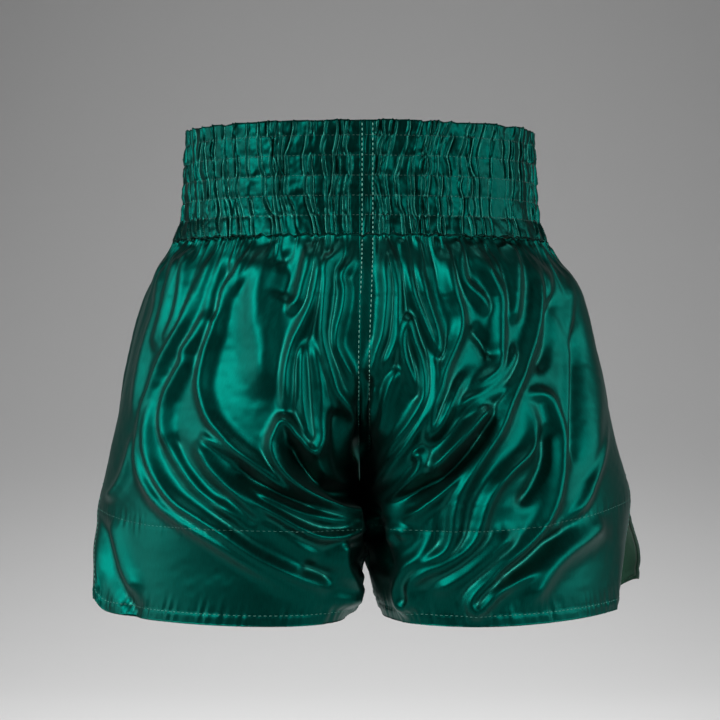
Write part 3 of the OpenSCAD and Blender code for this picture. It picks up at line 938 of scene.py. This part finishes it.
# The back's left row crosses from the right panel to the left one, because the seam drifts.
lines = []
for x in SEAM_AT:
    def drifting(h):
        return x - seam_drift(h)
    split = BAND + 45
    lines.append(down_casing("right", lambda h: x, 1, BAND))
    if x == SEAM_AT[0]:
        lines.append(down_panel(("right", "back"), drifting, BAND + 1, split))
        lines.append(down_panel(("left", "back"), drifting, split + 2, SEAM_SHOWN))
        sunk = down_panel(("left", "back"), drifting, SEAM_SHOWN + 2, CROTCH - 30)
    else:
        lines.append(down_panel(("right", "back"), drifting, BAND + 1, SEAM_SHOWN))
        sunk = down_panel(("right", "back"), drifting, SEAM_SHOWN + 2, CROTCH - 30)
    lines.append((sunk[0] - 0.35 * sunk[1], sunk[1]))
sew("centre_seam_stitches_back", lines, thread_light, "back_centre_seam_threads", 2.3, 1.4, 0.7)

lines = []
for name, side in SIDES.items():
    lines.append(down_casing(name, lambda h: TWIN_HALF * side, 1, BAND, back=False))
    lines.append(down_panel((name, "front"), lambda h: TWIN_HALF * side, BAND + 1, CROTCH - 30))
sew("centre_seam_stitches_front", lines, thread_light, "front_centre_seam_threads", 2.3, 1.4, 0.7)

lines = []
for d in casings.values():
    for k in range(CHANNELS + 1):
        row = int(np.abs(d["levels"] - (HEADING + k * CHANNEL)).argmin())
        row = min(row, len(d["levels"]) - 2)
        # the last row is drawn into the join with the panels
        sunk = 0.3 if k == CHANNELS else 0.0
        lines.append((d["p"][row] - sunk * d["n"][row], d["n"][row]))
sew("channel_stitches", lines, thread_dark, "waistband_channel_threads", 2.2, 1.1, 0.45)


def row_of_h(h):
    """The row of a panel's grid at h, as a fraction."""
    return (h - BAND) / (LENGTH - BAND) * (ROWS - 1)


def overlock(name, side, kind, first, last, column, inward):
    """Loops that cross from side to side inside a side seam or an inseam."""
    d = panels[name, "back"]
    rows = row_of_h(np.arange(first, max(last, first + 4), 0.8))
    p, n = at_grid(d["p"], d["n"], rows, np.full(len(rows), column))
    inward = np.array([inward * side, 0, 0.0])
    zigzag = p + inward * 1.6 + np.array([0, 1, 0.0]) * (1.3 * (-1.0) ** np.arange(len(p)))[:, None]
    lines = [(zigzag, np.tile(inward, (len(p), 1)))]
    sew(f"{kind}_overlock_{name}", lines, thread_dark, f"{name}_{kind}_thread", 1.9, 0.2, 0.4)


def bartack(name, side):
    """A bar of dense stitches at the top of a slit."""
    d = panels[name, "back"]
    p, _ = at_grid(d["p"], d["n"], np.array([row_of_h(SLIT - 2)]), np.array([LAST_COLUMN]))
    out = np.array([side, 0, 0.0])
    bars = []
    for k in range(12):
        z = p[0] + np.array([0, (k - 5.5) * 0.7, 0]) + out * 0.25
        bars.append((np.array([z + [0, 0, 1.1], z + [0, 0, 0.0], z - [0, 0, 1.1]]), np.tile(out, (3, 1))))
    sew(f"slit_bartack_stitches_{name}", bars, thread_light, f"{name}_slit_bartack", 2.0, 0.1, 0.6)


LAST_COLUMN = COLUMNS - 1.001
for name, side in SIDES.items():
    hem, facing, slit = [], [], []
    for face_name in FACES:
        d = panels[name, face_name]
        every = np.arange(1.5, COLUMNS - 2.0)
        hem.append(at_grid(d["p"], d["n"], np.full(len(every), row_of_h(LENGTH - HEM)), every))
        faint = row_of_h(LENGTH - (FACING - 2))
        facing.append(at_grid(d["p"], d["n"], np.full(len(every), faint), every))
        rows = np.arange(row_of_h(SLIT + 8), row_of_h(LENGTH - (HEM + 1)))
        inset = []
        for r in rows:
            run = d["run"][int(r)]
            inset.append(np.interp(run[-1] - SLIT_MARGIN, run, np.arange(COLUMNS)))
        slit.append(at_grid(d["p"], d["n"], rows, np.array(inset)))
    sew(f"hem_stitches_{name}", hem, thread_faint, f"{name}_hem_threads", 2.4, 1.5, 0.5)
    sew(f"facing_stitches_{name}", facing, thread_faint, f"{name}_facing_threads", 2.6, 1.6, 0.35)
    sew(f"slit_stitches_{name}", slit, thread_light, f"{name}_slit_threads", 2.4, 1.5, 0.5)
    overlock(name, side, "side_seam", BAND + 3, SLIT - 3, LAST_COLUMN, -1)
    overlock(name, side, "inseam", CROTCH + 8, LENGTH - FACING + 3, 0.0, 1)
    bartack(name, side)


# ---- Elastic ---------------------------------------------------------------------

ROUND = 720                            # points round an elastic
for k in range(CHANNELS):
    levels = HEADING + CHANNEL * k + 1.5 + np.linspace(0, CHANNEL - 3, 13)
    ring = []
    for h in levels:
        x, y = band_ring(h, ELASTIC_INSET, ROUND // 2 + 1)
        x, y = np.concatenate([x, -x[-2:0:-1]]), np.concatenate([y, y[-2:0:-1]])
        ring.append(np.stack([x, y, np.full(ROUND, -h)], -1))
    p = np.array(ring)
    out = unit(p * [1, 2, 0])
    ribs = 0.12 + 0.12 * np.cos(np.arange(ROUND) * math.pi / 1.5)
    p = p - out * ribs[None, :, None]
    round_at = np.tile(np.arange(ROUND) * 1.08, (13, 1))
    flat = np.stack([round_at, -levels[:, None] * np.ones((13, ROUND))], -1)
    piece = shell(f"elastic_tape_{k + 1}", p, 1, 0.9, [rubber, rubber], flat, ring=True)
    stands_for(piece, "elastic", f"elastic_strip_{k + 1}")


# ---- Floor, light and camera -----------------------------------------------------

# A flat floor that curves up into a wall behind the shorts, in metres.
FLOOR_WIDE, FLOOR_NEAR, WALL, WALL_TOP, FLOOR_DROP, BEND = 40.0, -18.0, 2.2, 3.4, -0.62, 1.2
profile = [(FLOOR_NEAR, FLOOR_DROP), (WALL - BEND, FLOOR_DROP)]
profile += [(WALL - BEND + BEND * math.sin(a), FLOOR_DROP + BEND * (1 - math.cos(a)))
            for a in np.linspace(0.1, math.pi / 2, 14)]
profile += [(WALL, WALL_TOP)]
points = [((i / 12 - 0.5) * FLOOR_WIDE * MM, y * MM, z * MM) for y, z in profile for i in range(13)]
pale, *_ = material("pale_floor", (0.62, 0.62, 0.62), 0.85, specular=0.2)
floor = make("studio_floor", points, grid_faces(len(profile), 13), [pale])


def softbox(name, place, target, size, power, spread=140):
    """A soft lamp: its size in metres, its power in watts, its spread in degrees."""
    light = bpy.data.lights.new(name, "AREA")
    light.shape = "RECTANGLE"
    light.size, light.size_y = size
    light.energy = power
    light.spread = math.radians(spread)
    lamp = bpy.data.objects.new(name, light)
    lamp.location = place
    aim = np.array(target, float) - np.array(place, float)
    lamp.rotation_euler = Vector(aim).to_track_quat("-Z", "Y").to_euler()
    bpy.context.scene.collection.objects.link(lamp)


middle = (0, 0, -0.2)
softbox("key", (-1.6, -1.3, 0.8), middle, (0.9, 1.1), 12.5, spread=90)
softbox("fill", (1.5, -1.5, 0.4), middle, (0.6, 1.2), 5, spread=80)
softbox("right", (1.6, -0.3, 0.2), middle, (0.35, 1.4), 8)
softbox("left", (-1.6, -0.2, 0.1), middle, (0.35, 1.4), 7)
softbox("top", (0, 0.1, 1.5), middle, (1.2, 0.5), 6)
softbox("behind", (0, 1.3, 0.9), middle, (1.2, 0.6), 12)

world = bpy.data.worlds.new("studio")
world.use_nodes = True
world.node_tree.nodes["Background"].inputs["Color"].default_value = (0.5, 0.5, 0.5, 1)
world.node_tree.nodes["Background"].inputs["Strength"].default_value = 0.1
bpy.context.scene.world = world

camera = bpy.data.objects.new("camera", bpy.data.cameras.new("camera"))
camera.data.sensor_width = 36
camera.data.lens = 93.75
camera.location = tuple(EYE / MM)
camera.rotation_euler = (math.pi / 2, 0, 0)
bpy.context.scene.collection.objects.link(camera)
bpy.context.scene.camera = camera
bpy.context.scene.view_settings.view_transform = "Standard"
